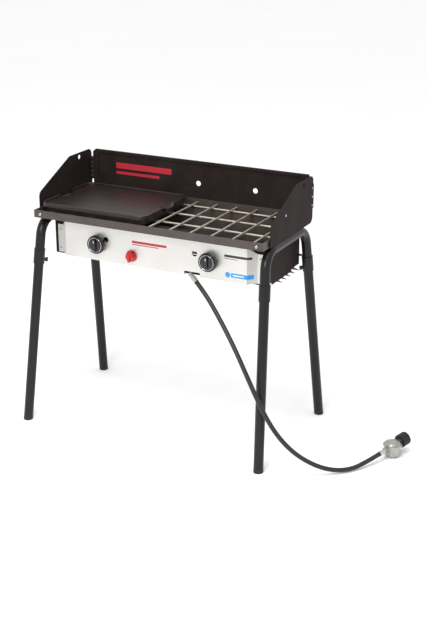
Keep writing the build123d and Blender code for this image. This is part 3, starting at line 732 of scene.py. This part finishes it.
@dataclass
class TopFrame:
    """Angle rails, the welded rod grate and the fasteners."""

    ledge: float = 0.708
    rod_radius: float = 0.0032
    long_count: int = 4
    long_first: float = -0.163
    long_pitch: float = 0.105
    short_pitch: float = 0.0733
    short_count: int = 11
    half_width: float = 0.410
    half_depth: float = 0.180
    weld_inset: float = 0.001

    def build(self) -> None:
        """Paints the rails and builds the grate."""
        paint(RAIL_ENAMEL, "rail_front", "rail_rear", "rail_left", "rail_right")
        self.grate()
        self.beads()
        self.screws()

    def grate(self) -> None:
        """Two crossing rows of rods."""
        low, high = self.ledge + self.rod_radius, self.ledge + 3 * self.rod_radius
        long_rods = rod_row("grate_rods_across", self.long_count, (0.0, self.long_first, low),
                            (0.0, self.long_pitch, 0.0),
                            (0.0, math.pi / 2, 0.0), self.rod_radius, 2 * self.half_width).run(ROD_NICKEL)
        first = -self.short_pitch * (self.short_count // 2)
        short_rods = rod_row("grate_rods_front_to_back", self.short_count, (first, 0.0, high),
                             (self.short_pitch, 0.0, 0.0), (math.pi / 2, 0.0, 0.0), self.rod_radius,
                             2 * self.half_depth).run(ROD_NICKEL)
        for piece, node in ((long_rods, "grate_long_rods"), (short_rods, "grate_short_rods")):
            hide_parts(node)
            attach(piece, "frame")

    def beads(self) -> None:
        """Resistance welds where the rods cross and where they meet the rails."""
        columns = [self.short_pitch * (i - self.short_count // 2) for i in range(self.short_count)]
        rows = [self.long_first + self.long_pitch * i for i in range(self.long_count)]
        low, mid, high = (self.ledge + share * self.rod_radius for share in (1, 2, 3))
        points = [(x, y, mid) for x in columns for y in rows]
        points += [(x, side * (self.half_depth - self.weld_inset), high) for x in columns for side in (-1, 1)]
        points += [(side * (self.half_width - self.weld_inset), y, low) for y in rows for side in (-1, 1)]
        blob = template(turned(((0.6, -3.1), (2.6, -2.2), (4.0, -0.4), (3.9, 0.9), (2.4, 2.2), (0.6, 2.9)),
                               (0, 0, 0), (0, 0, 1), 14))
        beads = copies("grate_weld_beads", blob, (0.0, 0.0, 0.4), wobble=0.25)
        piece = beads.run(ROD_NICKEL, points, smooth=60.0)
        discard(blob)
        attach(piece, "frame")

    def screws(self) -> None:
        """Screw and bolt heads of the frame, panel and windscreen."""
        rows = (
            ("rail_screw_heads", Fastener(radius=4.8, height=2.4), "rail_screws", (math.pi / 2, 0.0, 0.0),
             [(x, -0.183, 0.717) for x in (-0.39, 0.39)]),
            ("panel_screw_heads", Fastener(radius=3.6, height=2.0), "panel_screws", (math.pi / 2, 0.3, 0.0),
             [(x, -0.101, z) for x in (-0.367, 0.367) for z in (0.586, 0.650)]),
            ("windscreen_screw_heads", Fastener(radius=4.8, height=2.4), "windscreen_screws",
             (-math.pi / 2, 0.5, 0.0), [(x, 0.1845, 0.717) for x in (-0.33, -0.11, 0.11, 0.33)]),
            ("bow_bolt_heads", Fastener(Drive.HEX, 5.5, 4.0), "bow_bolts", (0.0, 0.0, 0.2),
             [(x, y, self.ledge) for x in (-0.4, 0.4) for y in (-0.08, 0.08)]),
        )
        for name, fastener, node, turn, points in rows:
            head = template(fastener.mesh())
            piece = copies(name, head, turn).run(ZINC, points)
            discard(head)
            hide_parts(node)
            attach(piece, "frame")


@dataclass
class Legs:
    """Leg bows, lower legs, plugs and thumbscrews."""

    corners: tuple[str, ...] = ("front_left", "front_right", "rear_left", "rear_right")

    def build(self) -> None:
        """Paints the tubes and plastics."""
        paint(LEG_COAT, "leg_bow_left", "leg_bow_right", "brace_straps", *("leg_" + c for c in self.corners))
        paint(NYLON_BLACK, *("foot_plug_" + c for c in self.corners),
              *("thumbscrew_" + c for c in self.corners))


@dataclass
class PanelPrint:
    """Plain printed shapes on the control panel, in place of any lettering. Sizes in metres."""

    face: float = -0.126
    bend: float = 0.332
    proud: float = 0.00012

    def bar(self, x0: float, x1: float, z0: float, z1: float) -> bpy.types.Mesh:
        """A printed rectangle on the flat face."""
        y = self.face
        return slab(((x0, y, z0), (x1, y, z0), (x1, y, z1), (x0, y, z1)), (0.0, -self.proud, 0.0))

    def wrap(self, t0: float, t1: float, z0: float, z1: float) -> bpy.types.Mesh:
        """A printed rectangle on the sloped end.

        Args:
            t0: Distance past the bend where it starts.
            t1: Distance past the bend where it ends.
            z0: Lower edge.
            z1: Upper edge.

        Returns:
            The mesh.
        """
        k, out = math.sqrt(0.5), self.proud * math.sqrt(0.5)
        ends = [(self.bend + t * k, self.face + t * k) for t in (t0, t1)]
        corners = [(ends[0][0], ends[0][1], z0), (ends[1][0], ends[1][1], z0),
                   (ends[1][0], ends[1][1], z1), (ends[0][0], ends[0][1], z1)]
        return slab(corners, (out, -out, 0.0))

    def disc(self, x: float, z: float, radius: float) -> bpy.types.Mesh:
        """A printed disc on the flat face."""
        return turned(((radius / MM, 0.0), (radius / MM, self.proud / MM)), (x, self.face, z), (0, -1, 0), 40)

    def build(self) -> None:
        """Red stripes at the middle, charcoal stripes and a blue label at the right."""
        red = [self.bar(-0.078, 0.049, 0.6480, 0.6560), self.bar(-0.078, 0.020, 0.6420, 0.6450)]
        dark = [self.bar(0.254, 0.3319, 0.6500, 0.6578), self.wrap(0.0001, 0.018, 0.6500, 0.6578),
                self.bar(0.254, 0.300, 0.6442, 0.6460)]
        blue = [self.bar(0.277, 0.3319, 0.586, 0.6000), self.wrap(0.0001, 0.024, 0.586, 0.6000),
                self.disc(0.266, 0.593, 0.0088)]
        white = [slab(tuple((x, self.face - self.proud, z) for x, z in
                            ((0.284, 0.5915), (0.322, 0.5915), (0.322, 0.5945), (0.284, 0.5945))),
                      (0.0, -0.00008, 0.0))]
        for name, meshes, finish in (("panel_print_red", red, INK_RED),
                                     ("panel_print_charcoal", dark, INK_DARK),
                                     ("panel_label_blue", blue, LABEL_BLUE),
                                     ("panel_label_stripe", white, LABEL_WHITE)):
            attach(joined(name, meshes, finish), "frame")


@dataclass
class BurnerBox:
    """Burner box, panel, heat shield, burners and the gas train inside."""

    def build(self) -> None:
        """Paints the box and its contents and prints the panel."""
        paint(SHEET_ENAMEL, "box_side_left", "box_side_right", "front_shelf", "louvre_shield", "burner_bar")
        # The back wall's enamel is painted lighter, as painted light for the light through the grate.
        paint(PAINTED_LIT_BACK_ENAMEL, "box_back")
        paint(PANEL_STEEL, "control_panel")
        paint(CAST_IRON, "burner_left", "burner_right")
        # The manifold gets the dark sheet enamel: partly a dark pipe's own colour, partly painted shade that
        # keeps the panel's valve holes dark.
        paint(SHEET_ENAMEL, "gas_manifold")
        paint(ZINC, "air_shutter_left", "air_shutter_right")
        paint(BRASS, "valves", "orifices", "valve_stem_left", "valve_stem_right")
        paint(NYLON_BLACK, "igniter_body")
        paint(CERAMIC, "electrodes")
        paint(HOSE_RUBBER, "ignition_wires")
        PanelPrint().build()


@dataclass
class BurnerKnob:
    """Round knob with a ribbed skirt, a chromed ring and a tall grip bar. Sizes in millimetres."""

    side: str
    centre: Point
    rib_count: int = 36
    rib_radius: float = 30.2
    ring_radius: float = 23.9
    ring_height: float = 22.9
    ring_wire: float = 0.8
    mark_height: float = 30.8
    mark_half_width: float = 0.7
    mark_span: tuple[float, float] = (8.0, 16.5)

    def build(self) -> None:
        """Cap, ribs, ring and pointer, all on the knob's body."""
        body, out = "knob_" + self.side, (0, -1, 0)
        cap = turned(((0, 0.1), (12.8, 0.1), (12.8, 8.2), (29.6, 8.2), (30.2, 8.8), (30.0, 20.4),
                      (29.4, 22.2), (28.4, 23.4), (27.0, 23.9), (25.8, 23.7), (25.0, 22.9), (23.2, 22.6),
                      (22.0, 22.6), (20.6, 23.2), (18.0, 23.5), (10.0, 23.8), (4.0, 23.9), (0, 23.9)),
                     self.centre, out)
        up, across, centre = Vector((0, 0, 1)), Vector((1, 0, 0)), Vector(self.centre)
        rings = [oval(centre + Vector(out) * height * MM, up, across, length, width)
                 for height, length, width in
                 ((20.0, 42.0, 12.8), (25.0, 41.6, 12.2), (28.5, 41.0, 11.4), (29.9, 40.2, 10.4),
                  (30.6, 38.4, 8.6), (30.9, 35.0, 5.6))]
        knob = joined(f"knob_{self.side}_cap", (cap, shell(rings)), KNOB_BLACK, 50.0)
        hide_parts("knob_" + self.side)
        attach(knob, body)
        ring = joined(f"knob_{self.side}_ring", [self.torus()], CHROME, 80.0)
        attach(ring, body)
        rib = template(turned(((0.2, 9.0), (0.5, 9.3), (0.66, 10.0), (0.66, 18.6), (0.4, 20.4), (0.1, 21.0)),
                              (0, 0, 0), (0, 0, 1), 10))
        ribs = ring_of(f"knob_{self.side}_ribs", rib, self.rib_count, self.rib_radius * MM, self.centre,
                       (math.pi / 2, 0.0, 0.0)).run(KNOB_BLACK, smooth=60.0)
        discard(rib)
        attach(ribs, body)
        x, y, z = self.centre
        face, half, (low, high) = y - self.mark_height * MM, self.mark_half_width * MM, self.mark_span
        mark = slab(((x - half, face, z + low * MM), (x + half, face, z + low * MM),
                     (x + half, face, z + high * MM), (x - half, face, z + high * MM)), (0, -0.0002, 0))
        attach(finished(f"knob_{self.side}_pointer", mark, LABEL_WHITE), body)

    def torus(self) -> bpy.types.Mesh:
        """The trim ring, a round wire standing above the knob's back.

        Returns:
            The mesh.
        """
        steps, small = 72, 12
        rings = []
        for step in range(steps):
            angle = 2 * math.pi * step / steps
            outward = Vector((math.cos(angle), 0.0, math.sin(angle)))
            middle = (Vector(self.centre) + outward * self.ring_radius * MM
                      + Vector((0, -self.ring_height * MM, 0)))
            rings.append([middle + (outward * math.cos(b) + Vector((0, -1, 0)) * math.sin(b))
                          * self.ring_wire * MM
                          for b in (2 * math.pi * i / small for i in range(small))])
        return shell(rings + rings[:1], cap_start=False, cap_end=False)


@dataclass
class IgniterKnob:
    """Red rotary knob: flared skirt and a thick ridge with hollowed flanks. Sizes in millimetres."""

    centre: Point = (-0.080, -0.1275, 0.604)

    def build(self) -> None:
        """Skirt and ridge as one piece."""
        out, centre = Vector((0, -1, 0)), Vector(self.centre)
        skirt = turned(((0, 0.1), (18.8, 0.1), (19.4, 0.7), (19.3, 2.4), (17.8, 4.6), (15.9, 7.2),
                        (14.9, 9.6), (14.4, 13.0), (13.8, 15.6), (12.4, 16.7), (5.0, 16.9), (0, 16.9)),
                       self.centre, tuple(out), 56)
        rings = [oval(centre + out * height * MM, Vector((0, 0, 1)), Vector((1, 0, 0)), length, width)
                 for height, length, width in ((1.0, 36.6, 10.0), (8.0, 35.8, 9.8), (14.0, 35.0, 9.4),
                                               (20.0, 34.2, 9.0), (21.9, 32.8, 7.6), (22.8, 29.0, 4.6))]
        knob = joined("igniter_knob_cap", (skirt, shell(rings)), IGNITER_RED, 50.0)
        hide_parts("igniter_knob")
        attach(knob, "igniter_knob")


@dataclass
class Windscreen:
    """Folding windscreen with its hinges. Sizes in metres."""

    recess_face: float = 0.187
    side_face: float = 0.418
    stripe_proud: float = 0.00012
    leaf_rivet_y: float = 0.174
    leaf_rivet_heights: tuple[float, ...] = (0.762, 0.790, 0.818)
    screen_rivet: tuple[float, float] = (-0.033, 0.780)

    def build(self) -> None:
        """Paints sheets, leaves, pins and rivets."""
        paint(SHEET_ENAMEL, "windscreen_back", "windscreen_left", "windscreen_right")
        paint(LEG_COAT, "hinge_back_leaves", "hinge_side_leaf_left", "hinge_side_leaf_right")
        paint(ZINC, "hinge_pins")
        self.stripes()
        for side, sign in (("left", -1), ("right", 1)):
            self.rivets(side, sign)

    def stripes(self) -> None:
        """Two plain red stripes printed in the pressed recess of the back panel."""
        y = self.recess_face
        meshes = [slab(((x0, y, z0), (x1, y, z0), (x1, y, z1), (x0, y, z1)), (0.0, -self.stripe_proud, 0.0))
                  for x0, x1, z0, z1 in ((-0.320, -0.103, 0.798, 0.818), (-0.320, -0.150, 0.778, 0.788))]
        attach(joined("windscreen_stripes", meshes, INK_RED), "frame")

    def rivets(self, side: str, sign: int) -> None:
        """Bright rivet heads on the outer face of a side screen, a little larger than the modelled ones.

        Args:
            side: "left" or "right", which names the moving body.
            sign: -1 on the left, 1 on the right.
        """
        x = sign * self.side_face
        leaf = [(x, self.leaf_rivet_y, z) for z in self.leaf_rivet_heights]
        for name, radius, places in (("leaf_rivets", 3.15, leaf),
                                     ("screen_rivet", 4.15, [(x, *self.screen_rivet)])):
            head = template(turned(((0, 0), (radius, 0), (radius, 1.62), (radius * 0.8, 1.75),
                                    (radius * 0.4, 1.84), (0, 1.86)), (0, 0, 0), (0, 0, 1), 24))
            heads = copies(f"{name}_{side}", head, (0.0, sign * math.pi / 2, 0.0))
            piece = heads.run(ZINC, places, smooth=60.0)
            discard(head)
            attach(piece, "screen_" + side)


@dataclass
class GasHose:
    """Supply hose, its fittings and the regulator."""

    diameter: float = 0.0148
    length: float = 0.96
    route: tuple[Point, ...] = (
        (0.16289, -0.13794, 0.55557), (0.21111, -0.16391, 0.52651), (0.257, -0.186, 0.484),
        (0.306, -0.209, 0.433), (0.352, -0.228, 0.375), (0.393, -0.242, 0.312), (0.430, -0.249, 0.249),
        (0.465, -0.248, 0.186), (0.503, -0.238, 0.127), (0.548, -0.218, 0.075), (0.601, -0.189, 0.036),
        (0.650, -0.157, 0.015), (0.694, -0.114, 0.0087), (0.727, -0.062, 0.019), (0.749, -0.006, 0.027))

    def build(self) -> None:
        """Lays the hose and paints what is on it."""
        paint(ZINC, "hose_nut", "hose_ferrules")
        paint(DIE_CAST, "regulator")
        paint(NYLON_BLACK, "connector_nut")
        line = bpy.data.curves.new("supply_hose", "CURVE")
        line.dimensions = "3D"
        spline = line.splines.new("NURBS")
        spline.points.add(len(self.route) - 1)
        for place, point in zip(spline.points, self.route):
            place.co = (*point, 1.0)
        spline.order_u = 3
        spline.use_endpoint_u = True
        line.resolution_u = 12
        line.bevel_depth = self.diameter / 2
        line.bevel_resolution = 6
        line.use_fill_caps = True
        line.materials.append(HOSE_RUBBER.material())
        hose = bpy.data.objects.new("supply_hose", line)
        bpy.context.scene.collection.objects.link(hose)
        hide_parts("gas_hose")
        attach(hose, "frame")
        log.info("piece supply_hose: %d route points", len(self.route))


@dataclass
class Griddle:
    """Cast griddle on the left half of the grate."""

    def build(self) -> None:
        """Paints the casting."""
        paint(CAST_IRON, "griddle")


# --- studio ----------------------------------------------------------------------------------------

@dataclass
class Studio:
    """Pale floor, soft lights and the camera."""

    eye: Point = (1.94665, -3.51859, 1.87527)
    pitch: float = 69.263
    heading: float = 27.022
    lens: float = 108.05
    floor_reach: float = 30.0
    lights: tuple[tuple[str, Point, Point, float, float], ...] = field(default=(
        ("key_softbox", (0.5, -3.1, 2.5), (0.0, 0.0, 0.6), 1.1, 58.0),
        ("top_softbox", (0.2, -0.9, 3.0), (0.0, 0.0, 0.6), 1.2, 42.0),
    ))

    def build(self) -> None:
        """Makes the set."""
        self.floor()
        self.world()
        for name, place, target, size, power in self.lights:
            self.softbox(name, place, target, size, power)
        self.camera()

    def floor(self) -> None:
        """A plain pale floor, a square about the origin."""
        work = bmesh.new()
        bmesh.ops.create_grid(work, x_segments=1, y_segments=1, size=self.floor_reach)
        mesh = bpy.data.meshes.new("studio_floor")
        work.to_mesh(mesh)
        work.free()
        mesh.materials.append(STUDIO_PAPER.material())
        plane = bpy.data.objects.new("studio_floor", mesh)
        bpy.context.scene.collection.objects.link(plane)

    def world(self) -> None:
        """Even pale light from all round."""
        world = bpy.data.worlds.new("studio_air")
        world.use_nodes = True
        world.node_tree.nodes["Background"].inputs["Color"].default_value = linear("ffffff")
        world.node_tree.nodes["Background"].inputs["Strength"].default_value = 1.0
        bpy.context.scene.world = world
        bpy.context.scene.view_settings.view_transform = "Standard"

    def softbox(self, name: str, place: Point, target: Point, size: float, power: float) -> None:
        """Adds a square area light that faces a target.

        Args:
            name: Light name.
            place: Where it stands, in metres.
            target: Where it points.
            size: Side of the square, in metres.
            power: Power in watts.
        """
        lamp = bpy.data.lights.new(name, "AREA")
        lamp.size = size
        lamp.energy = power
        made = bpy.data.objects.new(name, lamp)
        made.location = place
        made.rotation_euler = (Vector(target) - Vector(place)).to_track_quat("-Z", "Y").to_euler()
        bpy.context.scene.collection.objects.link(made)

    def camera(self) -> None:
        """Long lens from the front right, a little above."""
        eye = bpy.data.cameras.new("studio_camera")
        eye.sensor_fit = "HORIZONTAL"
        eye.sensor_width = 36.0
        eye.lens = self.lens
        made = bpy.data.objects.new("studio_camera", eye)
        made.location = self.eye
        made.rotation_euler = (math.radians(self.pitch), 0.0, math.radians(self.heading))
        bpy.context.scene.collection.objects.link(made)
        bpy.context.scene.camera = made


def main() -> None:
    """Builds the set and every sub-assembly."""
    logging.basicConfig(level=logging.INFO, format="%(name)s %(message)s")
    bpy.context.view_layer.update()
    Studio().build()
    for part in (GasHose(), TopFrame(), Legs(), BurnerBox(), BurnerKnob("left", (-0.204, -0.128, 0.629)),
                 BurnerKnob("right", (0.204, -0.128, 0.629)), IgniterKnob(), Windscreen(), Griddle()):
        part.build()
        log.info("built %s", type(part).__name__)


if __name__ == "__main__":
    main()
